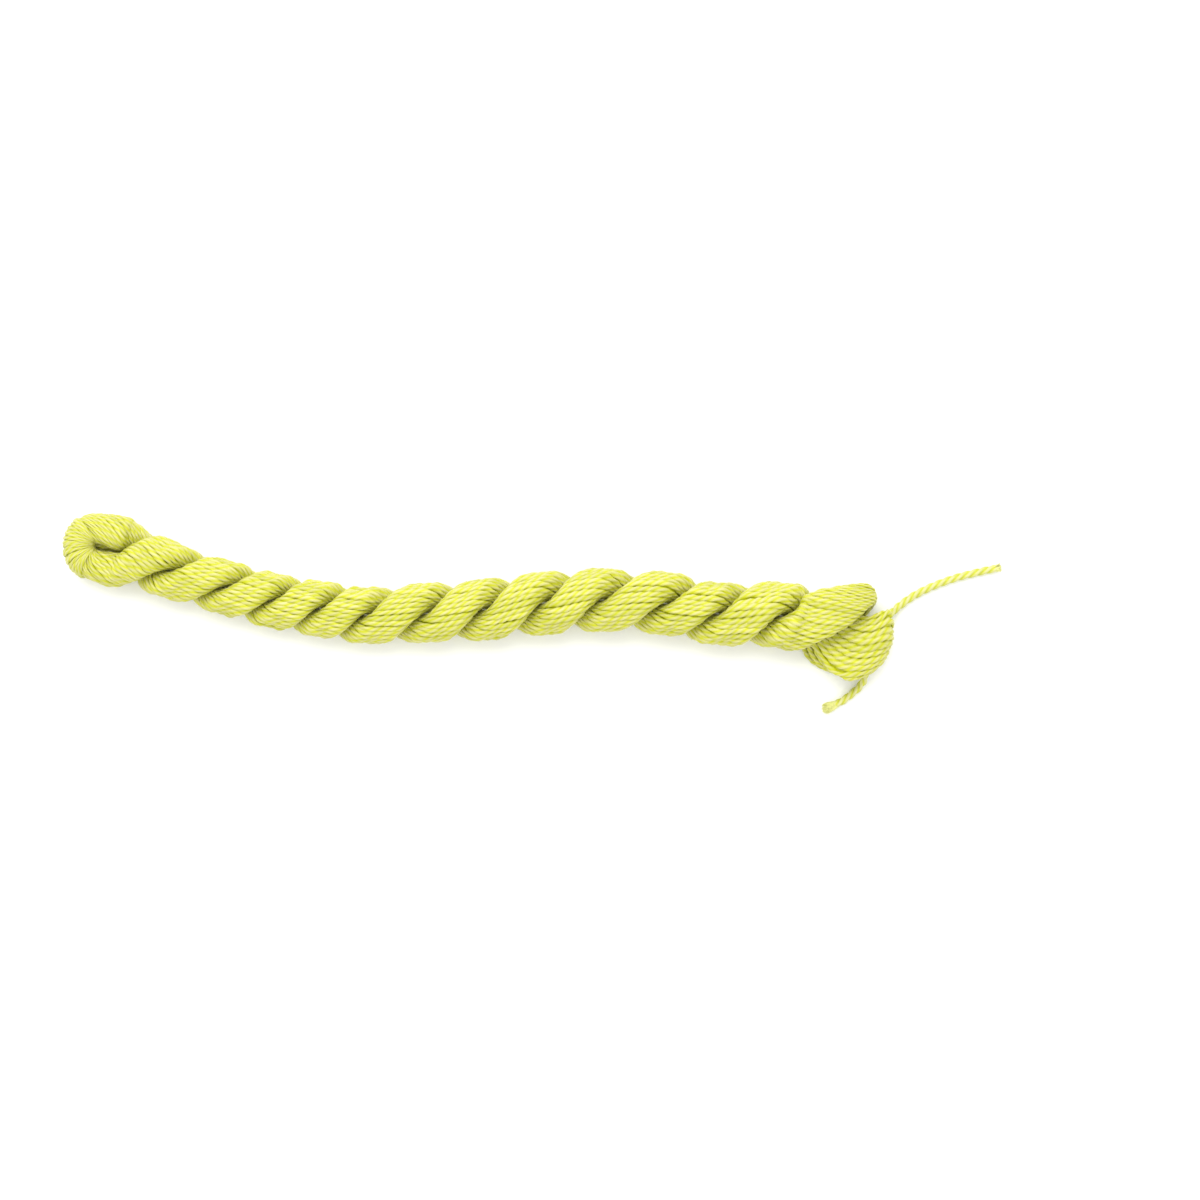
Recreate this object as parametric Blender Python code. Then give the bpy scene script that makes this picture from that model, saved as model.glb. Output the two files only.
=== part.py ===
"""A skein of embroidery floss: a twisted hank and the short tie through its head.

The hank is a ring of floss that is twisted and doubled back on itself, so that its
two halves lie round each other as a left-handed two-ply rope.  It is one solid: one
bundle that starts under the head, turns over it, runs down the rope as the first
ply, turns round the left fold, comes back as the second ply, passes over the neck
of the head and ends in a hook beneath it.  The tie is one cord through the head.

Metres, +Z up.  The origin is on the surface that the hank rests on, under the
middle of its outline, and the hank lies along X with its head at +X.
"""

import math

import bmesh
import bpy
import numpy as np

GAP = 0.0004  # clear space between the two plies
SURFACE = 0.0  # height of the surface, on which the plies are pressed flat
SECTION_POINTS = 16  # points round a section of the bundle
ROPE_STEPS = 8  # sections in each half turn of the rope
BEND_STEPS = 3  # sections between two rows of the folds' tables
OUTER_POWER = 2.1  # superellipse power of a section's outer half
INNER_POWER = 2.6  # and of the flatter half that faces the other ply
SLOPE_STEP = 0.01  # half turns to each side over which the rope's heading is taken

TIE_DIAMETER = 0.0021
TIE_SPACING = 2.4  # distance between the points of the tie, in diameters
TIE_ROUNDNESS = 2  # bevel resolution of the tie

# The rope.  One row for each crease that shows on top, where its plies lie side by
# side, and one inside the first lobe.  turn counts half turns; x, y and height place
# the rope's axis; width is across both plies and waist is one ply's other width.
# Columns: turn, x, y, height, width, waist.
ROPE_ROWS = (
    (0.0, -0.0938, 0.0118, 0.0062, 0.0190, 0.0114),
    (0.5, -0.0867, 0.0098, 0.0071, 0.0160, 0.0122),
    (1.0, -0.0799, 0.0069, 0.0070, 0.0147, 0.0114),
    (2.0, -0.0658, 0.0025, 0.0066, 0.0140, 0.0112),
    (3.0, -0.0534, -0.0009, 0.0067, 0.0142, 0.0113),
    (4.0, -0.0411, -0.0031, 0.0068, 0.0145, 0.0114),
    (5.0, -0.0291, -0.0048, 0.0070, 0.0148, 0.0116),
    (6.0, -0.0134, -0.0042, 0.0074, 0.0157, 0.0118),
    (7.0, 0.0016, -0.0033, 0.0076, 0.0160, 0.0118),
    (8.0, 0.0170, -0.0016, 0.0079, 0.0167, 0.0120),
    (9.0, 0.0322, -0.0008, 0.0079, 0.0168, 0.0121),
    (10.0, 0.0487, -0.0017, 0.0078, 0.0165, 0.0123),
    (11.0, 0.0621, -0.0043, 0.0077, 0.0163, 0.0128),
    (12.0, 0.0786, -0.0048, 0.0080, 0.0172, 0.0136),
    (13.0, 0.0930, -0.0090, 0.0084, 0.0172, 0.0136),
)
FIRST_TURN, LAST_TURN = 0.0, 12.25  # the rope's own stretch of the bundle

# The left fold: the bundle goes round an eye that its inner side pinches shut.
EYE = (-0.0988, 0.0131)
EYE_GAP = 0.0008  # from the eye to the fold's inner side
# Columns: bearing, radius, height, thin, waist.
FOLD_ROWS = (
    (105.0, 0.0050, 0.0057, 0.0047, 0.0111),
    (142.0, 0.0049, 0.0055, 0.0047, 0.0108),
    (180.0, 0.0049, 0.0054, 0.0047, 0.0106),
    (218.0, 0.0049, 0.0055, 0.0047, 0.0108),
    (255.0, 0.0050, 0.0057, 0.0047, 0.0111),
)

# The head and the hook, each from the rope outwards.  heading is the bearing of the
# bundle in plan and tip is how far it has turned over: 0 on top, 90 at the end of
# the bend and 180 beneath.  thin and wide are half widths, and bow is how much the
# middle of a section leads its ends, as a curvature.
# Columns: x, y, height, heading, tip, thin, wide, bow.
HEAD_ROWS = (
    (0.0860, -0.0064, 0.0053, -18.0, 0.0, 0.0027, 0.0056, 0.0),
    (0.0906, -0.0080, 0.0057, -38.0, 0.0, 0.0025, 0.0064, 0.0),
    (0.0948, -0.0106, 0.0066, -48.0, -12.0, 0.0024, 0.0080, 0.0),
    (0.0990, -0.0127, 0.0086, -38.0, 0.0, 0.0021, 0.0103, 20.0),
    (0.1037, -0.0133, 0.0085, -27.0, 32.0, 0.0018, 0.0107, 40.0),
    (0.1061, -0.0134, 0.0050, -22.0, 90.0, 0.0015, 0.0064, 50.0),
    (0.1038, -0.0132, 0.0018, -22.0, 160.0, 0.0015, 0.0060, 45.0),
    (0.1010, -0.0138, 0.0016, -22.0, 180.0, 0.0014, 0.0054, 30.0),
)
HOOK_ROWS = (
    (0.0862, -0.0057, 0.0122, 8.0, 0.0, 0.0031, 0.0067, 0.0),
    (0.0928, -0.0030, 0.0119, 18.0, 6.0, 0.0029, 0.0059, 0.0),
    (0.0982, -0.0006, 0.0100, 22.0, 40.0, 0.0025, 0.0042, 0.0),
    (0.1017, 0.0005, 0.0058, 28.0, 90.0, 0.0021, 0.0029, 0.0),
    (0.0991, -0.0030, 0.0018, 40.0, 165.0, 0.0016, 0.0031, 0.0),
    (0.0944, -0.0082, 0.0014, 43.0, 180.0, 0.0013, 0.0032, 0.0),
    (0.0898, -0.0122, 0.0014, 41.0, 180.0, 0.0013, 0.0031, 0.0),
    (0.0858, -0.0154, 0.0015, 38.0, 180.0, 0.0014, 0.0026, 0.0),
)

# The tie, from its short free end, under the head and out to its long free end.
# Columns: x, y, height.
TIE_ROUTE = (
    (0.0900, -0.0288, 0.0011),
    (0.0926, -0.0284, 0.0011),
    (0.0951, -0.0272, 0.0011),
    (0.0975, -0.0254, 0.0012),
    (0.0997, -0.0233, 0.0017),
    (0.1008, -0.0211, 0.0032),
    (0.1008, -0.0186, 0.0046),
    (0.1012, -0.0156, 0.0051),
    (0.1021, -0.0128, 0.0051),
    (0.1034, -0.0100, 0.0050),
    (0.1049, -0.0074, 0.0046),
    (0.1067, -0.0052, 0.0036),
    (0.1087, -0.0034, 0.0022),
    (0.1110, -0.0016, 0.0013),
    (0.1136, 0.0002, 0.0011),
    (0.1168, 0.0019, 0.0011),
    (0.1208, 0.0036, 0.0011),
    (0.1252, 0.0051, 0.0011),
    (0.1295, 0.0062, 0.0011),
    (0.1339, 0.0072, 0.0011),
    (0.1364, 0.0077, 0.0011),
)

FLOSS_COLOUR = (0.62, 0.61, 0.12, 1.0)
FLOSS_ROUGHNESS = 0.55

UP = np.array((0.0, 0.0, 1.0))


def smooth(knots, rows, at):
    """Cubic curve through rows at knots, read at the given places."""
    knots = np.asarray(knots, float)
    rows = np.asarray(rows, float)
    slopes = np.gradient(rows, knots, axis=0)
    at = np.clip(at, knots[0], knots[-1])
    left = np.clip(np.searchsorted(knots, at, side="right") - 1, 0, len(knots) - 2)
    span = (knots[left + 1] - knots[left])[:, None]
    s = (at - knots[left])[:, None] / span
    return (
        (1 + 2 * s) * (1 - s) ** 2 * rows[left]
        + s * (1 - s) ** 2 * span * slopes[left]
        + s**2 * (3 - 2 * s) * rows[left + 1]
        - s**2 * (1 - s) * span * slopes[left + 1]
    )


def unit(vector):
    return vector / np.linalg.norm(vector)


def level(bearing):
    """The level unit vector at a bearing in degrees from +X."""
    return np.array((math.cos(math.radians(bearing)), math.sin(math.radians(bearing)), 0.0))


def section(centre, outward, normal, outer, inner, wide, bow, heading):
    """One row of the bundle, with all that its outline needs."""
    return np.concatenate((centre, outward, normal, (outer, inner, wide, bow), heading))


def rope_section(turn, side):
    """A ply's section, square to the rope's axis; side is 1 or -1 for its two plies."""
    table = np.array(ROPE_ROWS)
    turns, rows = table[:, 0], table[:, 1:]
    around = np.array((turn - SLOPE_STEP, turn, turn + SLOPE_STEP))
    before, here, after = smooth(turns, rows, around)
    x, y, height, width, waist = here
    ahead = after - before
    along = unit(np.array((ahead[0], ahead[1], 0.0)))
    across = np.cross(UP, along)
    angle = math.pi * turn
    outward = side * (math.cos(angle) * across - math.sin(angle) * UP)
    quarter = width / 4
    centre = np.array((x, y, height)) + quarter * outward
    return section(centre, outward, -side * along, quarter, quarter - GAP / 2, waist / 2, 0.0, along)


def fold_section(bearing, radius, height, thin, waist):
    """A section of the left fold, in the upright plane through the eye at a bearing."""
    outward = level(bearing)
    centre = np.array((*EYE, height)) + radius * outward
    travel = np.cross(UP, outward)
    return section(centre, outward, travel, thin, radius - EYE_GAP, waist / 2, 0.0, travel)


def bend_section(side, x, y, height, heading, tip, thin, wide, bow):
    """A section of the hook, which leaves the rope (side 1), or of the head (side -1)."""
    ahead = level(heading)
    tilt = math.radians(tip)
    outward = side * (math.cos(tilt) * UP + math.sin(tilt) * ahead)
    travel = side * (math.cos(tilt) * ahead - math.sin(tilt) * UP)
    return section(np.array((x, y, height)), outward, travel, thin, thin, wide, bow, ahead)


def bundle_sections():
    """The sections of the whole bundle, in order, from under the head to the hook's end."""
    count = round((LAST_TURN - FIRST_TURN) * ROPE_STEPS) + 1
    turns = np.linspace(FIRST_TURN, LAST_TURN, count)
    head = [bend_section(-1, *row) for row in HEAD_ROWS]
    first_ply = [rope_section(turn, 1) for turn in turns]
    fold = [fold_section(*row) for row in FOLD_ROWS]
    second_ply = [rope_section(turn, -1) for turn in turns]
    hook = [bend_section(1, *row) for row in HOOK_ROWS]
    rows = np.array(head[::-1] + first_ply[::-1] + fold + second_ply + hook)
    ply_end = len(head) + len(turns)
    fold_end = ply_end + len(fold)
    ropes = (
        (len(head), ply_end - 1),
        (fold_end, fold_end + len(turns) - 1),
    )
    places = []
    for i in range(len(rows) - 1):
        in_rope = any(low <= i < high for low, high in ropes)
        steps = 1 if in_rope else BEND_STEPS
        places.extend(i + np.arange(steps) / steps)
    places.append(len(rows) - 1)
    return smooth(np.arange(len(rows)), rows, np.array(places, float))


def outline(row, angles):
    """The points of one section: a superellipse, flatter on its inner side."""
    centre, outward, normal = row[0:3], unit(row[3:6]), unit(row[6:9])
    outer, inner, wide, bow = row[9:13]
    ahead = unit(row[13:16])
    sideways = unit(np.cross(normal, outward))
    points = []
    for angle in angles:
        c, s = math.cos(angle), math.sin(angle)
        power, thick = (OUTER_POWER, outer) if c > 0 else (INNER_POWER, inner)
        r = thick * math.copysign(abs(c) ** (2 / power), c)
        w = wide * math.copysign(abs(s) ** (2 / power), s)
        point = centre + r * outward + w * sideways - ahead * bow * w * w / 2
        point[2] = max(point[2], SURFACE)
        points.append(point)
    return points


def floss_material(name):
    material = bpy.data.materials.new(name)
    material.use_nodes = True
    shader = material.node_tree.nodes["Principled BSDF"]
    shader.inputs["Base Color"].default_value = FLOSS_COLOUR
    shader.inputs["Roughness"].default_value = FLOSS_ROUGHNESS
    shader.inputs["Metallic"].default_value = 0.0
    return material


def make_hank():
    """The hank as one closed skin over the bundle's sections."""
    angles = 2 * math.pi * (np.arange(SECTION_POINTS) + 0.5) / SECTION_POINTS
    mesh = bmesh.new()
    rings = []
    for row in bundle_sections():
        rings.append([mesh.verts.new(point) for point in outline(row, angles)])
    for ring, following in zip(rings, rings[1:]):
        for i in range(SECTION_POINTS):
            j = (i + 1) % SECTION_POINTS
            # The outer side's diagonals run with the floss, the inner side's against it.
            if abs(angles[i] - math.pi) < math.pi / 2:
                mesh.faces.new((ring[i], ring[j], following[i]))
                mesh.faces.new((ring[j], following[j], following[i]))
            else:
                mesh.faces.new((ring[i], ring[j], following[j]))
                mesh.faces.new((ring[i], following[j], following[i]))
    mesh.faces.new(rings[0][::-1])
    mesh.faces.new(rings[-1])
    bmesh.ops.recalc_face_normals(mesh, faces=mesh.faces)
    data = bpy.data.meshes.new("hank")
    mesh.to_mesh(data)
    mesh.free()
    data.shade_smooth()
    data.materials.append(floss_material("floss"))
    hank = bpy.data.objects.new("hank", data)
    bpy.context.collection.objects.link(hank)
    return hank


def tie_points():
    """Evenly spaced points along the smooth curve through the tie's route."""
    route = np.array(TIE_ROUTE)
    reach = np.concatenate(([0], np.cumsum(np.linalg.norm(np.diff(route, axis=0), axis=1))))
    count = int(round(reach[-1] / (TIE_SPACING * TIE_DIAMETER))) + 1
    return smooth(reach, route, np.linspace(0, reach[-1], count))


def make_tie():
    """The tie as a bevelled curve with filled ends."""
    curve = bpy.data.curves.new("tie", "CURVE")
    curve.dimensions = "3D"
    curve.bevel_depth = TIE_DIAMETER / 2
    curve.bevel_resolution = TIE_ROUNDNESS
    curve.use_fill_caps = True
    points = tie_points()
    spline = curve.splines.new("POLY")
    spline.points.add(len(points) - 1)
    for place, point in zip(spline.points, points):
        place.co = (*point, 1.0)
    curve.materials.append(floss_material("tie_floss"))
    tie = bpy.data.objects.new("tie", curve)
    bpy.context.collection.objects.link(tie)
    return tie


def main():
    for thing in list(bpy.data.objects):
        bpy.data.objects.remove(thing, do_unlink=True)
    make_hank()
    make_tie()


main()
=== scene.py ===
"""Looks for the skein of embroidery floss: the plied strands of the twisted hank,
its tie with frayed ends, their yarn material, a pale floor, soft light and a camera
that looks straight down.

Lengths are in metres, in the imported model's frame.
"""

import math

import bpy
import numpy as np
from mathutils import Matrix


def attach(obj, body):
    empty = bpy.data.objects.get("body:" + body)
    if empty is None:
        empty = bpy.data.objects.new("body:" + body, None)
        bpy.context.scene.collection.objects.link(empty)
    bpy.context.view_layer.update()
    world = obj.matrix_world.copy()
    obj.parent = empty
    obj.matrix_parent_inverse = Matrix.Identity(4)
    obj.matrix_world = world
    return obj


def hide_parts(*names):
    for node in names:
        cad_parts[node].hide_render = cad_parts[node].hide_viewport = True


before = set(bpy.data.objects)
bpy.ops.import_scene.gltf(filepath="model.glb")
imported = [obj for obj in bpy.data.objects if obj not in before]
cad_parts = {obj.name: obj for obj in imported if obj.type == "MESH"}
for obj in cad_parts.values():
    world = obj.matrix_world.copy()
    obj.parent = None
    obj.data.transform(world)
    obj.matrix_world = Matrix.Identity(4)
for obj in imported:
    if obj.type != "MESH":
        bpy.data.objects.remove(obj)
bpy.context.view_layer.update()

UP = np.array((0.0, 0.0, 1.0))

# ---------------------------------------------------------------- the hank's shape
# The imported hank's own dimensions: the same tables as its solid is swept through.
GAP = 0.0004  # clear space between the two plies
OUTER_POWER, INNER_POWER = 2.1, 2.6  # superellipse powers of a section's two sides
ROPE_STEPS = 8  # rows in each half turn of the rope
FIRST_TURN, LAST_TURN = 0.0, 12.25

# turn, x, y, height, width across both plies, waist of one ply
ROPE_ROWS = (
    (0.0, -0.0938, 0.0118, 0.0062, 0.0190, 0.0114),
    (0.5, -0.0867, 0.0098, 0.0071, 0.0160, 0.0122),
    (1.0, -0.0799, 0.0069, 0.0070, 0.0147, 0.0114),
    (2.0, -0.0658, 0.0025, 0.0066, 0.0140, 0.0112),
    (3.0, -0.0534, -0.0009, 0.0067, 0.0142, 0.0113),
    (4.0, -0.0411, -0.0031, 0.0068, 0.0145, 0.0114),
    (5.0, -0.0291, -0.0048, 0.0070, 0.0148, 0.0116),
    (6.0, -0.0134, -0.0042, 0.0074, 0.0157, 0.0118),
    (7.0, 0.0016, -0.0033, 0.0076, 0.0160, 0.0118),
    (8.0, 0.0170, -0.0016, 0.0079, 0.0167, 0.0120),
    (9.0, 0.0322, -0.0008, 0.0079, 0.0168, 0.0121),
    (10.0, 0.0487, -0.0017, 0.0078, 0.0165, 0.0123),
    (11.0, 0.0621, -0.0043, 0.0077, 0.0163, 0.0128),
    (12.0, 0.0786, -0.0048, 0.0080, 0.0172, 0.0136),
    (13.0, 0.0930, -0.0090, 0.0084, 0.0172, 0.0136),
)
EYE = (-0.0988, 0.0131)
EYE_GAP = 0.0008  # from the eye to the fold's inner side
# bearing, radius, height, half thickness, waist
FOLD_ROWS = (
    (105.0, 0.0050, 0.0057, 0.0047, 0.0111),
    (142.0, 0.0049, 0.0055, 0.0047, 0.0108),
    (180.0, 0.0049, 0.0054, 0.0047, 0.0106),
    (218.0, 0.0049, 0.0055, 0.0047, 0.0108),
    (255.0, 0.0050, 0.0057, 0.0047, 0.0111),
)
# x, y, height, heading, tip, half thickness, half width, bow
HEAD_ROWS = (
    (0.0860, -0.0064, 0.0053, -18.0, 0.0, 0.0027, 0.0056, 0.0),
    (0.0906, -0.0080, 0.0057, -38.0, 0.0, 0.0025, 0.0064, 0.0),
    (0.0948, -0.0106, 0.0066, -48.0, -12.0, 0.0024, 0.0080, 0.0),
    (0.0990, -0.0127, 0.0086, -38.0, 0.0, 0.0021, 0.0103, 20.0),
    (0.1037, -0.0133, 0.0085, -27.0, 32.0, 0.0018, 0.0107, 40.0),
    (0.1061, -0.0134, 0.0050, -22.0, 90.0, 0.0015, 0.0064, 50.0),
    (0.1038, -0.0132, 0.0018, -22.0, 160.0, 0.0015, 0.0060, 45.0),
    (0.1010, -0.0138, 0.0016, -22.0, 180.0, 0.0014, 0.0054, 30.0),
)
HOOK_ROWS = (
    (0.0862, -0.0057, 0.0122, 8.0, 0.0, 0.0031, 0.0067, 0.0),
    (0.0928, -0.0030, 0.0119, 18.0, 6.0, 0.0029, 0.0059, 0.0),
    (0.0982, -0.0006, 0.0100, 22.0, 40.0, 0.0025, 0.0042, 0.0),
    (0.1017, 0.0005, 0.0058, 28.0, 90.0, 0.0021, 0.0029, 0.0),
    (0.0991, -0.0030, 0.0018, 40.0, 165.0, 0.0016, 0.0031, 0.0),
    (0.0944, -0.0082, 0.0014, 43.0, 180.0, 0.0013, 0.0032, 0.0),
    (0.0898, -0.0122, 0.0014, 41.0, 180.0, 0.0013, 0.0031, 0.0),
    (0.0858, -0.0154, 0.0015, 38.0, 180.0, 0.0014, 0.0026, 0.0),
)
TIE_DIAMETER = 0.0021
# Lengths of its route that are drawn as fibres only: at its short end, at its long one.
SHORT_FRAYED, LONG_FRAYED = 0.0028, 0.0006
# The tie's route, from its short free end to its long one: x, y, height.
TIE_ROUTE = (
    (0.0900, -0.0288, 0.0011),
    (0.0926, -0.0284, 0.0011),
    (0.0951, -0.0272, 0.0011),
    (0.0975, -0.0254, 0.0012),
    (0.0997, -0.0233, 0.0017),
    (0.1008, -0.0211, 0.0032),
    (0.1008, -0.0186, 0.0046),
    (0.1012, -0.0156, 0.0051),
    (0.1021, -0.0128, 0.0051),
    (0.1034, -0.0100, 0.0050),
    (0.1049, -0.0074, 0.0046),
    (0.1067, -0.0052, 0.0036),
    (0.1087, -0.0034, 0.0022),
    (0.1110, -0.0016, 0.0013),
    (0.1136, 0.0002, 0.0011),
    (0.1168, 0.0019, 0.0011),
    (0.1208, 0.0036, 0.0011),
    (0.1252, 0.0051, 0.0011),
    (0.1295, 0.0062, 0.0011),
    (0.1339, 0.0072, 0.0011),
    (0.1364, 0.0077, 0.0011),
)

# ------------------------------------------------------------------ the floss itself
STRANDS = 19  # that show round one ply
STRAND_PIECES = 5  # objects that they are shared among
RING_POINTS = 12  # points round a strand, four on each of its three plies
RING_SPACING = 0.00060
YARN_PITCH = 0.0072  # length in which the yarn's own three plies go once round
YARN_PLIES = 3
PLY_OFFSET = 1.155  # middle of each ply from the yarn's middle, of the ply's radius
PLY_DEPTH = 0.24  # how far the grooves between the yarn's plies cut in, of its radius
PITCH_VARIES = (0.92, 1.08)
# Powers that shape the painted highlight on the plies and the painted shade between them and on
# their inward sides.
GROOVE_POWER, FACING_POWER = 0.6, 0.8
SNUG = 0.76  # a strand's radius, of the spacing between strands
STRAND_VARIES, STRAND_WANDERS, STRAND_RISES = 0.06, 0.11, 0.00014
VARIES_OVER, WANDERS_OVER, RISES_OVER = 4.0, 5.0, 3.0  # rows of the bundle
RISE_RANGE = (-0.0001, 0.0005)
LEAST_RADIUS, MOST_RADIUS = 0.00025, 1.25  # the least in metres, the most of the usual
LEAST_HALF = 2e-4  # half a thickness that a section keeps, however far it is inset
BUNDLE_SAMPLES = 2400
END_TAPER = 0.003  # length over which a strand's end thins out
SEED = 20
# The fan of strands over the fold: bearings, and angles round its section, in degrees.
FAN_STRANDS, FAN_FROM, FAN_STEP, FAN_LEAN = 17, 122.0, 7.0, 20.0
FAN_ANGLES = (205.0, 470.0)
FAN_SWAYS = (1.2, 7.0)  # deviations of a strand's bearing and of its lean
FAN_PIVOT = 0.4  # place along a strand that its lean turns it about
FAN_INSET = 0.0006  # first guess at how deep a strand's middle lies
FAN_VARIES, FAN_RADII, FAN_SINKS, FAN_TAPER = 0.08, (0.0002, 0.0007), 0.0002, 0.0015
SHORT_SAMPLES = 60  # samples of a short strand's path
CORE_INSET, CORE_POINTS = 0.0012, 32
CORE_LOWEST = 0.0004  # height that the core stays above
CORE_END, CORE_STEP = 24, 6  # bundle samples left off its ends, and from ring to ring
END_SAMPLES = 22  # bundle samples that a strand's end may fall short by
# Strands that show beside the head, under its lower edge: x, y, height.
PEEK_ROUTES = (
    ((0.0851, -0.0108, 0.0040), (0.0850, -0.0130, 0.0020), (0.0859, -0.0150, 0.0012),
     (0.0873, -0.0166, 0.0011), (0.0894, -0.0180, 0.0012), (0.0920, -0.0190, 0.0014)),
    ((0.0864, -0.0108, 0.0046), (0.0864, -0.0131, 0.0034), (0.0873, -0.0152, 0.0026),
     (0.0889, -0.0172, 0.0021), (0.0911, -0.0188, 0.0018), (0.0938, -0.0198, 0.0016)),
    ((0.0877, -0.0112, 0.0056), (0.0879, -0.0132, 0.0047), (0.0888, -0.0153, 0.0038),
     (0.0904, -0.0174, 0.0030), (0.0926, -0.0192, 0.0024), (0.0952, -0.0202, 0.0018)),
)
PEEK_RADIUS = 0.00082
# Strands that lie deep in the fold's eye.
EYE_ROUTES = (
    ((-0.1010, 0.0136, 0.0050), (-0.0985, 0.0134, 0.0052), (-0.0950, 0.0128, 0.0050),
     (-0.0915, 0.0121, 0.0046), (-0.0880, 0.0112, 0.0044)),
    ((-0.1005, 0.0126, 0.0036), (-0.0980, 0.0124, 0.0038), (-0.0945, 0.0116, 0.0036),
     (-0.0910, 0.0108, 0.0034), (-0.0880, 0.0100, 0.0034)),
)


def smooth(knots, rows, at):
    """Cubic curve through rows at knots, read at the given places."""
    knots = np.asarray(knots, float)
    rows = np.asarray(rows, float)
    slopes = np.gradient(rows, knots, axis=0)
    at = np.clip(at, knots[0], knots[-1])
    left = np.clip(np.searchsorted(knots, at, side="right") - 1, 0, len(knots) - 2)
    span = (knots[left + 1] - knots[left])[:, None]
    s = (at - knots[left])[:, None] / span
    return (
        (1 + 2 * s) * (1 - s) ** 2 * rows[left]
        + s * (1 - s) ** 2 * span * slopes[left]
        + s**2 * (3 - 2 * s) * rows[left + 1]
        - s**2 * (1 - s) * span * slopes[left + 1]
    )


def unit(v):
    """Vectors of length one, along the last axis."""
    v = np.asarray(v, float)
    return v / np.linalg.norm(v, axis=-1, keepdims=True)


def level(bearing):
    return np.array((math.cos(math.radians(bearing)), math.sin(math.radians(bearing)), 0.0))


def section(centre, outward, normal, outer, inner, wide, bow, ahead):
    return np.concatenate((centre, outward, normal, (outer, inner, wide, bow), ahead))


def rope_section(turn, side):
    table = np.array(ROPE_ROWS)
    step = 0.01
    x, y, height, width, waist = smooth(table[:, 0], table[:, 1:], np.array([turn]))[0]
    before, after = smooth(table[:, 0], table[:, 1:3], np.array([turn - step, turn + step]))
    along = unit((*(after - before), 0.0))
    across = np.cross(UP, along)
    angle = math.pi * turn
    outward = side * (math.cos(angle) * across - math.sin(angle) * UP)
    quarter = width / 4
    centre = np.array((x, y, height)) + quarter * outward
    inner = quarter - GAP / 2
    return section(centre, outward, -side * along, quarter, inner, waist / 2, 0.0, along)


def fold_section(bearing, radius, height, thin, waist):
    outward = level(bearing)
    centre = np.array((*EYE, height)) + radius * outward
    travel = np.cross(UP, outward)
    return section(centre, outward, travel, thin, radius - EYE_GAP, waist / 2, 0.0, travel)


def bend_section(side, x, y, height, heading, tip, thin, wide, bow):
    ahead = level(heading)
    tilt = math.radians(tip)
    outward = side * (math.cos(tilt) * UP + math.sin(tilt) * ahead)
    travel = side * (math.cos(tilt) * ahead - math.sin(tilt) * UP)
    return section(np.array((x, y, height)), outward, travel, thin, thin, wide, bow, ahead)


# How far the floss turns round its ply, as a share of a whole turn of its section:
# for each half turn of the rope, by place along it, and between rows elsewhere.
ROPE_TWIST_TURNS = (0.0, 0.6, 1.0, 2.0, 5.0, 7.0, 11.0, 12.25)
FIRST_PLY_TWIST = (1.05, 1.00, 0.95, 0.86, 0.82, 0.76, 0.76, 0.76)
SECOND_PLY_TWIST = (1.30, 1.08, 0.94, 0.86, 0.82, 0.76, 0.76, 1.00)
FOLD_TWIST = (0.27, 0.28, 0.28, 0.28, 0.25, 0.15)
HEAD_TWIST = (0.24, 0.06, 0.04, -0.01, -0.05, -0.05, 0.0, 0.0)
HOOK_TWIST = (0.27, 0.16, 0.23, 0.22, 0.0, 0.0, 0.0, 0.0)
FAN_DEPTH = 0.0008  # how far the fold's own strands lie under its fan


def bundle_rows():
    """The rows of the whole bundle in order, each with the floss's turn and depth."""
    turns = np.arange(FIRST_TURN, LAST_TURN + 1e-6, 1 / ROPE_STEPS)
    head = [bend_section(-1, *row) for row in HEAD_ROWS]
    first_ply = [rope_section(turn, 1) for turn in turns]
    fold = [fold_section(*row) for row in FOLD_ROWS]
    second_ply = [rope_section(turn, -1) for turn in turns]
    hook = [bend_section(1, *row) for row in HOOK_ROWS]
    rows = np.array(head[::-1] + first_ply[::-1] + fold + second_ply + hook)
    middles = (turns[1:] + turns[:-1]) / 2
    first_twist = np.interp(middles, ROPE_TWIST_TURNS, FIRST_PLY_TWIST) / ROPE_STEPS
    second_twist = np.interp(middles, ROPE_TWIST_TURNS, SECOND_PLY_TWIST) / ROPE_STEPS
    twist = np.concatenate(
        (HEAD_TWIST[::-1], first_twist[::-1], FOLD_TWIST, second_twist, HOOK_TWIST)
    )
    turned = np.concatenate(([0.0], np.cumsum(twist)))
    sunk = np.zeros(len(rows))
    first_fold = len(head) + len(first_ply)
    sunk[first_fold : first_fold + len(fold)] = FAN_DEPTH
    return np.column_stack((rows, turned, sunk))


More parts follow.
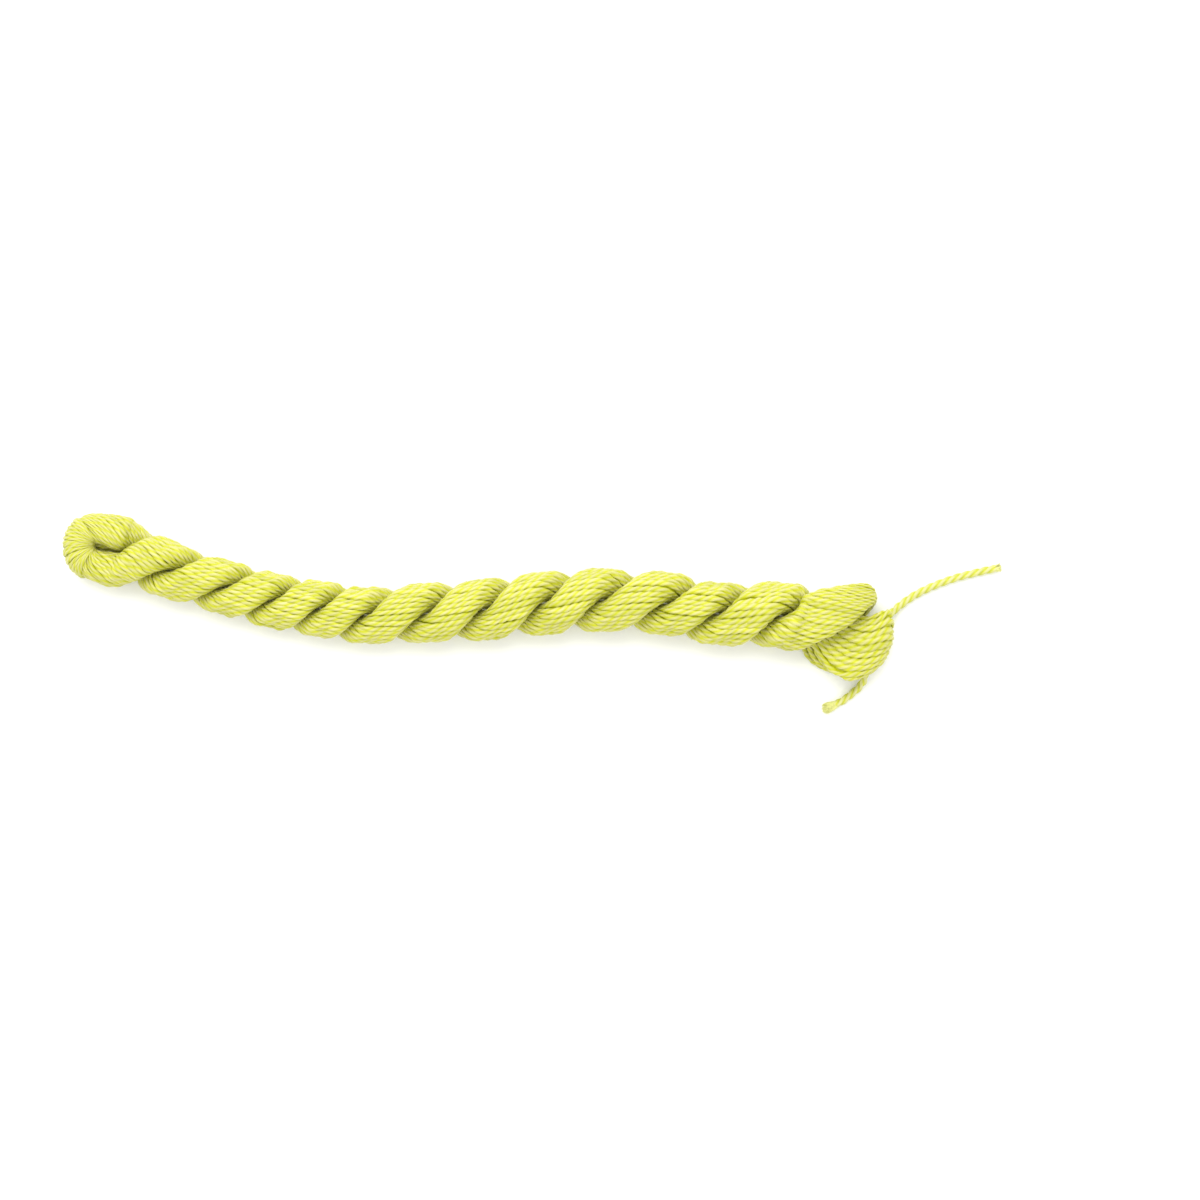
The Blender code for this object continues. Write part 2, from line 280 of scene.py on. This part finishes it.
class Sections:
    """Sections of the bundle, and places on their outlines."""

    ANGLES = 2 * math.pi * np.arange(97) / 96

    def __init__(self, rows):
        self.centre = rows[:, 0:3]
        self.outward = unit(rows[:, 3:6])
        self.sideways = unit(np.cross(rows[:, 6:9], self.outward))
        self.outer, self.inner, self.wide, self.bow = rows[:, 9:13].T
        self.ahead = unit(rows[:, 13:16])
        r, w = self.local(np.broadcast_to(self.ANGLES, (len(rows), len(self.ANGLES))), 0.0)
        steps = np.hypot(np.diff(r, axis=1), np.diff(w, axis=1))
        self.reach = np.concatenate((np.zeros((len(rows), 1)), np.cumsum(steps, axis=1)), axis=1)
        self.perimeter = self.reach[:, -1]

    def local(self, angles, inset):
        """Distances outward and sideways of the outline, inset by a distance."""
        c, s = np.cos(angles), np.sin(angles)
        outer = np.maximum(self.outer[:, None] - inset, LEAST_HALF)
        inner = np.maximum(self.inner[:, None] - inset, LEAST_HALF)
        wide = np.maximum(self.wide[:, None] - inset, LEAST_HALF)
        front = c > 0
        power = np.where(front, OUTER_POWER, INNER_POWER)
        r = np.where(front, outer, inner) * np.sign(c) * np.abs(c) ** (2 / power)
        w = wide * np.sign(s) * np.abs(s) ** (2 / power)
        return r, w

    def angle_at(self, share):
        """The outline angle at a share of the way round, for each section."""
        share = np.mod(share, 1.0)
        found = np.empty_like(share)
        for i in range(len(share)):
            found[i] = np.interp(share[i] * self.perimeter[i], self.reach[i], self.ANGLES)
        return found

    def points(self, angles, inset):
        """Points of the outline, and the directions straight out from them."""
        r, w = self.local(angles, inset)
        places = (
            self.centre[:, None]
            + r[..., None] * self.outward[:, None]
            + w[..., None] * self.sideways[:, None]
            - (self.bow[:, None] * w * w / 2)[..., None] * self.ahead[:, None]
        )
        thick = np.where(r > 0, self.outer[:, None], self.inner[:, None])
        out = unit(
            (r / thick**2)[..., None] * self.outward[:, None]
            + (w / self.wide[:, None] ** 2)[..., None] * self.sideways[:, None]
        )
        return places, out


def wander(rng, at, spacing, count):
    """Smooth random curves, one for each strand, with a deviation of about 1."""
    knots = np.arange(at[0], at[-1] + 2 * spacing, spacing)
    values = rng.standard_normal((len(knots), count))
    return smooth(knots, values, at)


def under_fan(angles):
    """How much of the fan's depth applies round a section: none on its inner side."""
    return np.clip(1 + 1.2 * np.cos(angles), 0, 1)


def strand_paths(rng):
    """Centre lines, outward directions and radii of the strands round the bundle."""
    rows = bundle_rows()
    at = np.linspace(0, len(rows) - 1, BUNDLE_SAMPLES)
    fine = smooth(np.arange(len(rows)), rows, at)
    bundle = Sections(fine[:, :16])
    sunk = fine[:, 17:18]
    usual = SNUG * (bundle.perimeter / STRANDS)[:, None] * np.ones(STRANDS)
    share = np.arange(STRANDS) / STRANDS + fine[:, 16:17]
    even, _ = bundle.points(bundle.angle_at(share), usual + sunk)
    along = unit(np.gradient(even, axis=0))
    clear = np.linalg.norm(np.cross(along, np.roll(even, -1, axis=1) - even), axis=2)
    clear = (clear + np.roll(clear, 1, axis=1)) / 2
    radius = np.clip(SNUG * clear, LEAST_RADIUS, MOST_RADIUS * usual)
    radius = radius * (1 + STRAND_VARIES * wander(rng, at, VARIES_OVER, STRANDS))
    share = share + STRAND_WANDERS / STRANDS * wander(rng, at, WANDERS_OVER, STRANDS)
    rise = STRAND_RISES * wander(rng, at, RISES_OVER, STRANDS)
    angles = bundle.angle_at(share)
    inset = radius + sunk * under_fan(angles) + np.clip(rise, *RISE_RANGE)
    paths, outward = bundle.points(angles, inset)
    paths[..., 2] = np.maximum(paths[..., 2], radius)
    return core_tube(bundle, sunk), paths, outward, radius


def fan_paths(rng):
    """Strands that fan out from the eye over the fold's own."""
    table = np.array(FOLD_ROWS)
    strands = []
    for k in range(FAN_STRANDS):
        t = np.linspace(0, 1, SHORT_SAMPLES)
        sway = rng.standard_normal(2)
        middle = FAN_FROM + k * FAN_STEP + FAN_SWAYS[0] * sway[0]
        bearing = middle + (FAN_LEAN + FAN_SWAYS[1] * sway[1]) * (t - FAN_PIVOT)
        sizes = smooth(table[:, 0], table[:, 1:], np.clip(bearing, table[0, 0], table[-1, 0]))
        fold = Sections(np.array([fold_section(b, *size) for b, size in zip(bearing, sizes)]))
        angle = np.radians(FAN_ANGLES[0] + (FAN_ANGLES[1] - FAN_ANGLES[0]) * t)[:, None]
        guess, _ = fold.points(angle, FAN_INSET)
        from_eye = np.hypot(*(guess[:, 0, :2] - EYE).T)
        usual = SNUG * from_eye * math.radians(FAN_STEP)
        radius = np.clip(usual * (1 + FAN_VARIES * rng.standard_normal()), *FAN_RADII)
        sink = FAN_SINKS * rng.uniform() * np.sin(math.pi * t)[:, None]
        path, outward = fold.points(angle, radius[:, None] + sink)
        path = path[:, 0]
        path[:, 2] = np.maximum(path[:, 2], radius)
        strands.append((path, outward[:, 0], radius))
    return strands


def resample(path, outward, radius, spacing):
    """One strand at even steps of its own length, with that length at each step."""
    reach = np.concatenate(([0.0], np.cumsum(np.linalg.norm(np.diff(path, axis=0), axis=1))))
    count = max(int(reach[-1] / spacing), 8)
    at = np.linspace(0, reach[-1], count)
    columns = np.column_stack((path, outward, radius))
    even = np.column_stack([np.interp(at, reach, column) for column in columns.T])
    return even[:, 0:3], even[:, 3:6], even[:, 6], at


def tapered(radius, reach, taper):
    """Radii that thin out toward both ends."""
    near = np.minimum(reach, reach[-1] - reach) / taper
    return radius * (0.25 + 0.75 * np.sqrt(np.clip(near, 0, 1)))


def yarn_tube(path, outward, radius, reach, rng, points=RING_POINTS, depth=PLY_DEPTH):
    """Rings of a plied yarn along a path: a three-lobed outline that turns as it goes."""
    along = unit(np.gradient(path, axis=0))
    outward = unit(outward - np.sum(outward * along, axis=1, keepdims=True) * along)
    side = np.cross(along, outward)
    turn = 2 * math.pi * np.arange(points) / points
    sector = 2 * math.pi / YARN_PLIES
    off = np.abs((turn + sector / 2) % sector - sector / 2)  # from the middle of a ply
    ply = (PLY_OFFSET * np.cos(off) + np.sqrt(np.clip(1 - (PLY_OFFSET * np.sin(off)) ** 2, 0, 1)))
    shape = np.maximum(ply / (1 + PLY_OFFSET), 1 - depth)
    lobe = (shape - 1 + depth) / depth if depth else np.ones(points)
    pitch = YARN_PITCH * rng.uniform(*PITCH_VARIES)
    spin = rng.uniform(0, 2 * math.pi) - 2 * math.pi * reach / pitch
    angle = turn[None] + spin[:, None]
    size = radius[:, None] * shape[None]
    rings = (
        path[:, None]
        + (size * np.cos(angle))[..., None] * outward[:, None]
        + (size * np.sin(angle))[..., None] * side[:, None]
    )
    # painted highlight, palest, on the plies where they face out of the bundle; painted shade,
    # deepest, between them and inward
    facing = np.clip(0.25 + 0.75 * np.cos(angle), 0, 1)
    groove_shade = 1 - lobe[None] ** GROOVE_POWER * facing**FACING_POWER
    length = np.broadcast_to(reach[:, None], angle.shape)
    fibre = np.stack((np.cos(angle), np.sin(angle), length), -1)
    return rings, groove_shade, fibre, rng.uniform()


# The texture's layout: margins round a strip, its share of the texture's width and of its
# row's height, rings in a row to rows in the texture, and the size of an end's disc.
SIDE_MARGIN, STRIP_WIDTH = 0.002, 0.996
ROW_MARGIN, STRIP_HEIGHT = 0.06, 0.88
RINGS_TO_ROWS, END_DISC = 6.5, 0.3


def strip_places(rings, first_row, row_rings, rows):
    """Texture places of a tube's faces: rows of strips, one above the other."""
    n, m = rings.shape[:2]
    ring = np.arange(n - 1)
    row = (first_row + ring // row_rings)[:, None]
    left = (SIDE_MARGIN + STRIP_WIDTH * (ring % row_rings) / row_rings)[:, None]
    right = left + STRIP_WIDTH / row_rings
    low = (row + ROW_MARGIN + STRIP_HEIGHT * np.arange(m)[None] / m) / rows
    high = low + STRIP_HEIGHT / m / rows
    left, right = np.broadcast_to(left, low.shape), np.broadcast_to(right, low.shape)
    corners = ((left, low), (left, high), (right, high), (right, low))
    return np.stack([np.stack(corner, axis=-1) for corner in corners], axis=2).reshape(-1, 2)


def tube_mesh(name, tubes, material):
    """One mesh of many closed tubes, its strips laid out for a texture."""
    quads, places, ends, end_places = [], [], [], []
    total = sum(len(tube[0]) for tube in tubes)
    row_rings = max(int(math.sqrt(total * RINGS_TO_ROWS)), 8)
    rows = sum(-(-(len(tube[0]) - 1) // row_rings) for tube in tubes) + 1
    base, row = 0, 0
    for k, (rings, *_) in enumerate(tubes):
        n, m = rings.shape[:2]
        ring = np.arange(n - 1)[:, None] * m + base
        here = np.arange(m)[None]
        after = (here + 1) % m
        quad = np.stack((ring + here, ring + after, ring + m + after, ring + m + here), axis=-1)
        quads.append(quad.reshape(-1))
        places.append(strip_places(rings, row, row_rings, rows))
        row += -(-(n - 1) // row_rings)
        turn = 2 * math.pi * np.arange(m) / m
        disc = np.stack((np.cos(turn), np.sin(turn)), axis=-1) * END_DISC
        for end, order in ((0, np.arange(m)[::-1]), (1, np.arange(m))):
            ends.append(order + base + end * (n - 1) * m)
            middle = ((2 * k + end + 0.5) / (2 * len(tubes)), (rows - 0.5) / rows)
            end_places.append(middle + disc[order] / (max(2 * len(tubes), rows)))
        base += n * m
    mesh = bpy.data.meshes.new(name)
    loops = np.concatenate(quads + ends).astype(np.int32)
    count = sum(len(quad) for quad in quads) // 4
    sizes = np.concatenate((np.full(count, 4), [len(end) for end in ends]))
    starts = np.concatenate(([0], np.cumsum(sizes)[:-1])).astype(np.int32)
    vertices = np.concatenate([tube[0].reshape(-1, 3) for tube in tubes]).astype(np.float32)
    mesh.vertices.add(len(vertices))
    mesh.vertices.foreach_set("co", vertices.reshape(-1))
    mesh.loops.add(len(loops))
    mesh.loops.foreach_set("vertex_index", loops)
    mesh.polygons.add(len(sizes))
    mesh.polygons.foreach_set("loop_start", starts)
    mesh.update(calc_edges=True)
    layer = mesh.uv_layers.new(name="OFBake")
    spots = np.concatenate(places + end_places).astype(np.float32)
    layer.data.foreach_set("uv", spots.reshape(-1))
    groove_shade = np.concatenate([tube[1].reshape(-1) for tube in tubes])
    fibre = np.concatenate([tube[2].reshape(-1, 3) for tube in tubes])
    strand = np.concatenate([np.full(tube[1].size, tube[3]) for tube in tubes])
    for title, kind, field, values in (
        ("groove_shade", "FLOAT", "value", groove_shade),
        ("strand", "FLOAT", "value", strand),
        ("fibre", "FLOAT_VECTOR", "vector", fibre),
    ):
        made = mesh.attributes.new(title, kind, "POINT")
        made.data.foreach_set(field, values.astype(np.float32).reshape(-1))
    mesh.shade_smooth()
    mesh.materials.append(material)
    piece = bpy.data.objects.new(name, mesh)
    bpy.context.collection.objects.link(piece)
    return piece


# ------------------------------------------------------------------------ materials
# Painted light: each crest colour is paler and bluer as a painted highlight, each groove colour
# darker and more saturated as painted shade.
FLOSS_CREST_HIGHLIGHT, FLOSS_GROOVE_SHADE = (0.63, 0.595, 0.28), (0.55, 0.565, 0.010)
TIE_CREST_HIGHLIGHT, TIE_GROOVE_SHADE = (0.65, 0.63, 0.31), (0.55, 0.57, 0.02)
FRAY_CREST = (0.78, 0.77, 0.33)
WHITE = (1.0, 1.0, 1.0)
DULLEST_STRAND, DARK_STREAK = (0.84, 0.86, 0.70), (0.86, 0.87, 0.72)
STREAK_SCALE = (3.2, 3.2, 260.0)  # round a strand, and along it
STREAK_SHIFT = 57.0  # places that the pattern moves by from strand to strand
BUMP_STRENGTH, BUMP_HEIGHT = 0.28, 0.00012
YARN_ROUGHNESS, YARN_SHINE, YARN_SHINE_TINT = 0.38, 0.25, (1.0, 1.0, 0.6, 1)
FLOOR_COLOUR, FLOOR_ROUGHNESS = (0.92, 0.92, 0.92, 1), 0.9


def yarn_material(name, crest, groove_colour):
    """Silky yarn: painted shade, dark and saturated, in its grooves and on inward sides, a
    painted highlight on its crests, and fine streaks along its fibres.
    """
    material = bpy.data.materials.new(name)
    material.use_nodes = True
    nodes, links = material.node_tree.nodes, material.node_tree.links
    shader = nodes["Principled BSDF"]

    def attribute(title):
        node = nodes.new("ShaderNodeAttribute")
        node.attribute_name = title
        return node.outputs

    def blend(kind, share, first, second):
        node = nodes.new("ShaderNodeMix")
        node.data_type = "RGBA"
        node.blend_type = kind
        for socket, value in (("Factor", share), ("A", first), ("B", second)):
            target = [s for s in node.inputs if s.name == socket and s.enabled][0]
            if isinstance(value, bpy.types.NodeSocket):
                links.new(value, target)
            else:
                target.default_value = value
        return [s for s in node.outputs if s.enabled][0]

    def ramp(source, low, low_colour, high, high_colour):
        node = nodes.new("ShaderNodeValToRGB")
        first, last = node.color_ramp.elements
        first.position, first.color = low, (*low_colour, 1)
        last.position, last.color = high, (*high_colour, 1)
        links.new(source, node.inputs["Fac"])
        return node.outputs["Color"]

    stretch = nodes.new("ShaderNodeVectorMath")
    stretch.operation = "MULTIPLY"
    stretch.inputs[1].default_value = STREAK_SCALE
    links.new(attribute("fibre")["Vector"], stretch.inputs[0])
    shift = nodes.new("ShaderNodeVectorMath")
    shift.operation = "ADD"
    scaled = nodes.new("ShaderNodeMath")
    scaled.operation = "MULTIPLY"
    scaled.inputs[1].default_value = STREAK_SHIFT
    links.new(attribute("strand")["Fac"], scaled.inputs[0])
    links.new(stretch.outputs[0], shift.inputs[0])
    links.new(scaled.outputs[0], shift.inputs[1])
    streaks = nodes.new("ShaderNodeTexNoise")
    streaks.inputs["Scale"].default_value = 1.0
    streaks.inputs["Detail"].default_value = 3.0
    links.new(shift.outputs[0], streaks.inputs["Vector"])

    # painted light: from the painted highlight of the crests to the painted shade of the grooves
    # and inward sides
    depth = ramp(attribute("groove_shade")["Fac"], 0.10, crest, 0.95, groove_colour)
    tone = ramp(attribute("strand")["Fac"], 0.0, DULLEST_STRAND, 1.0, WHITE)
    light = ramp(streaks.outputs["Fac"], 0.35, DARK_STREAK, 0.65, WHITE)
    colour = blend("MULTIPLY", 1.0, blend("MULTIPLY", 1.0, depth, tone), light)
    links.new(colour, shader.inputs["Base Color"])
    bump = nodes.new("ShaderNodeBump")
    bump.inputs["Strength"].default_value = BUMP_STRENGTH
    bump.inputs["Distance"].default_value = BUMP_HEIGHT
    links.new(streaks.outputs["Fac"], bump.inputs["Height"])
    links.new(bump.outputs["Normal"], shader.inputs["Normal"])
    shader.inputs["Roughness"].default_value = YARN_ROUGHNESS
    shader.inputs["Specular IOR Level"].default_value = YARN_SHINE
    shader.inputs["Specular Tint"].default_value = YARN_SHINE_TINT
    return material


def floor_material():
    material = bpy.data.materials.new("floor_white")
    material.use_nodes = True
    shader = material.node_tree.nodes["Principled BSDF"]
    shader.inputs["Base Color"].default_value = FLOOR_COLOUR
    shader.inputs["Roughness"].default_value = FLOOR_ROUGHNESS
    return material


# --------------------------------------------------------------------- light, camera
FLOOR_SIZE = 3.0
SKY_STRENGTH = 1.28
LAMP_PLACE, LAMP_SIDES, LAMP_POWER = (-0.1, 0.55, 0.9), (0.9, 0.7), 7.4


def set_stage():
    mesh = bpy.data.meshes.new("floor")
    half = FLOOR_SIZE / 2
    corners = [(-half, -half, 0), (half, -half, 0), (half, half, 0), (-half, half, 0)]
    mesh.from_pydata(corners, [], [(0, 1, 2, 3)])
    mesh.materials.append(floor_material())
    floor = bpy.data.objects.new("floor", mesh)
    bpy.context.collection.objects.link(floor)

    world = bpy.data.worlds.new("studio")
    bpy.context.scene.world = world
    world.use_nodes = True
    world.node_tree.nodes["Background"].inputs["Color"].default_value = (1, 1, 1, 1)
    world.node_tree.nodes["Background"].inputs["Strength"].default_value = SKY_STRENGTH

    data = bpy.data.lights.new("softbox", "AREA")
    data.shape = "RECTANGLE"
    data.size, data.size_y = LAMP_SIDES
    data.energy = LAMP_POWER
    lamp = bpy.data.objects.new("softbox", data)
    lamp.location = LAMP_PLACE
    lamp.rotation_euler = (-lamp.location).to_track_quat("-Z", "Y").to_euler()
    bpy.context.collection.objects.link(lamp)


CAMERA_POINT = (0.0317, -0.0008)  # the point under the middle of the picture
PICTURE_WIDTH = 0.3144
LENS, SENSOR = 100.0, 36.0


def set_camera():
    data = bpy.data.cameras.new("camera")
    data.lens, data.sensor_width = LENS, SENSOR
    camera = bpy.data.objects.new("camera", data)
    camera.location = (*CAMERA_POINT, PICTURE_WIDTH * LENS / SENSOR)
    bpy.context.collection.objects.link(camera)
    bpy.context.scene.camera = camera


def finished(path, outward, radius, rng, spacing=RING_SPACING, taper=END_TAPER):
    """A strand's tube, from its sampled path."""
    path, outward, radius, reach = resample(path, outward, radius, spacing)
    return yarn_tube(path, outward, tapered(radius, reach, taper), reach, rng)


def trimmed(count, rng):
    """Samples of a strand that are kept, so that strands end at different places."""
    return slice(int(rng.uniform(0, END_SAMPLES)), count - int(rng.uniform(0, END_SAMPLES)))


def core_tube(bundle, sunk):
    """The floss under the strands that show, so that nothing shows through them."""
    turn = 2 * math.pi * np.arange(CORE_POINTS) / CORE_POINTS
    angles = np.broadcast_to(turn, (len(sunk), CORE_POINTS))
    rings, _ = bundle.points(angles, CORE_INSET + sunk * under_fan(angles))
    rings[..., 2] = np.maximum(rings[..., 2], CORE_LOWEST)
    rings = rings[CORE_END:-CORE_END:CORE_STEP]
    # The core takes the groove colour all over: painted shade.
    return rings, np.ones(rings.shape[:2]), rings, 0.5


def make_hank():
    rng = np.random.default_rng(SEED)
    core, paths, outward, radius = strand_paths(rng)
    tubes = []
    for i in range(STRANDS):
        kept = trimmed(len(paths), rng)
        tubes.append(finished(paths[kept, i], outward[kept, i], radius[kept, i], rng))
    material = yarn_material("floss_yarn", FLOSS_CREST_HIGHLIGHT, FLOSS_GROOVE_SHADE)
    pieces = [
        tube_mesh(f"floss_strands_{k + 1}", tubes[k::STRAND_PIECES], material)
        for k in range(STRAND_PIECES)
    ]
    extra = [finished(*strand, rng, taper=FAN_TAPER) for strand in fan_paths(rng)]
    for route in PEEK_ROUTES + EYE_ROUTES:
        knots = np.arange(len(route))
        path = smooth(knots, route, np.linspace(0, len(route) - 1, SHORT_SAMPLES))
        up = np.broadcast_to(UP, path.shape)
        extra.append(finished(path, up, np.full(len(path), PEEK_RADIUS), rng))
    pieces.append(tube_mesh("floss_fan", extra, material))

    pieces.append(tube_mesh("floss_core", [core], material))
    for piece in pieces:
        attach(piece, "root")
    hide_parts("hank")


TIE_SAMPLES, TIE_SPACING = 160, 0.0005  # samples of its route, and from ring to ring
TIE_POINTS, TIE_PLY_DEPTH = 18, 0.36
TIE_ROUNDING, TIE_TIP, TIE_SWELL = 0.0012, 0.7, 0.3  # an end's length, radius and swelling
SHORT_TUFT, LONG_TUFT = (0.0029, 0.0035, 230), (0.0022, 0.0011, 90)  # width, length, fibres
FIBRE_SAMPLES, FIBRE_SPACING, FIBRE_POINTS = 12, 0.0004, 5
FIBRE_RADII, FIBRE_TAPER = (0.00005, 0.00010), 0.001
FIBRE_ROOT = 0.0018  # how far back inside the cord a fibre starts
FIBRE_RISE, FIBRE_LIFT = 0.0008, 0.0002  # most that one spreads upward, and that all do


def frayed_end(tip, direction, width, length, count, rng):
    """Loose fibres that spread from a cut end."""
    direction = unit(direction * (1, 1, 0))
    side = np.cross(UP, direction)
    fibres = []
    t = np.linspace(0, 1, FIBRE_SAMPLES)[:, None]
    for _ in range(count):
        spread, rise, curl = rng.uniform(-1, 1), rng.uniform(-0.9, 1.0), rng.uniform(-1, 1)
        reach = length * rng.uniform(0.55, 1.0) * math.sqrt(1 - 0.5 * spread**2)
        wave = 0.25 * curl * t * np.sin(4 * t)
        path = (
            tip
            + direction * (t * (reach + FIBRE_ROOT) - FIBRE_ROOT)
            + side * (0.5 * width * (spread * (0.25 + 0.75 * t**0.8) + wave))
            + UP * (FIBRE_RISE * rise * (0.5 + 0.5 * t) + FIBRE_LIFT * t)
        )
        size = rng.uniform(*FIBRE_RADII)
        path[:, 2] = np.maximum(path[:, 2], 1.2 * size)
        up = np.broadcast_to(UP, path.shape)
        sizes = np.full(len(path), size)
        fine, out, radius, along = resample(path, up, sizes, FIBRE_SPACING)
        thin = tapered(radius, along, FIBRE_TAPER)
        fibres.append(yarn_tube(fine, out, thin, along, rng, FIBRE_POINTS, depth=0.0))
    return fibres


def make_tie():
    rng = np.random.default_rng(SEED + 1)
    route = np.array(TIE_ROUTE)
    reach = np.concatenate(([0.0], np.cumsum(np.linalg.norm(np.diff(route, axis=0), axis=1))))
    at = np.linspace(SHORT_FRAYED, reach[-1] - LONG_FRAYED, TIE_SAMPLES)
    path = smooth(reach, route, at)
    up = np.broadcast_to(UP, path.shape)
    sizes = np.full(len(path), TIE_DIAMETER / 2)
    path, out, size, along = resample(path, up, sizes, TIE_SPACING)
    near = np.minimum(along, along[-1] - along) / TIE_ROUNDING
    size = size * (TIE_TIP + TIE_SWELL * np.sqrt(np.clip(near, 0, 1)))
    material = yarn_material("tie_yarn", TIE_CREST_HIGHLIGHT, TIE_GROOVE_SHADE)
    yarn = yarn_tube(path, out, size, along, rng, TIE_POINTS, TIE_PLY_DEPTH)
    tie = tube_mesh("tie_cord", [yarn], material)
    ends = frayed_end(path[0], path[0] - path[3], *SHORT_TUFT, rng)
    ends += frayed_end(path[-1], path[-1] - path[-4], *LONG_TUFT, rng)
    fray = tube_mesh("tie_fray", ends, yarn_material("fray_yarn", FRAY_CREST, FRAY_CREST))
    for piece in (tie, fray):
        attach(piece, "root")
    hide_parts("tie")


set_camera()
make_tie()
make_hank()
set_stage()
bpy.context.scene.view_settings.view_transform = "Standard"
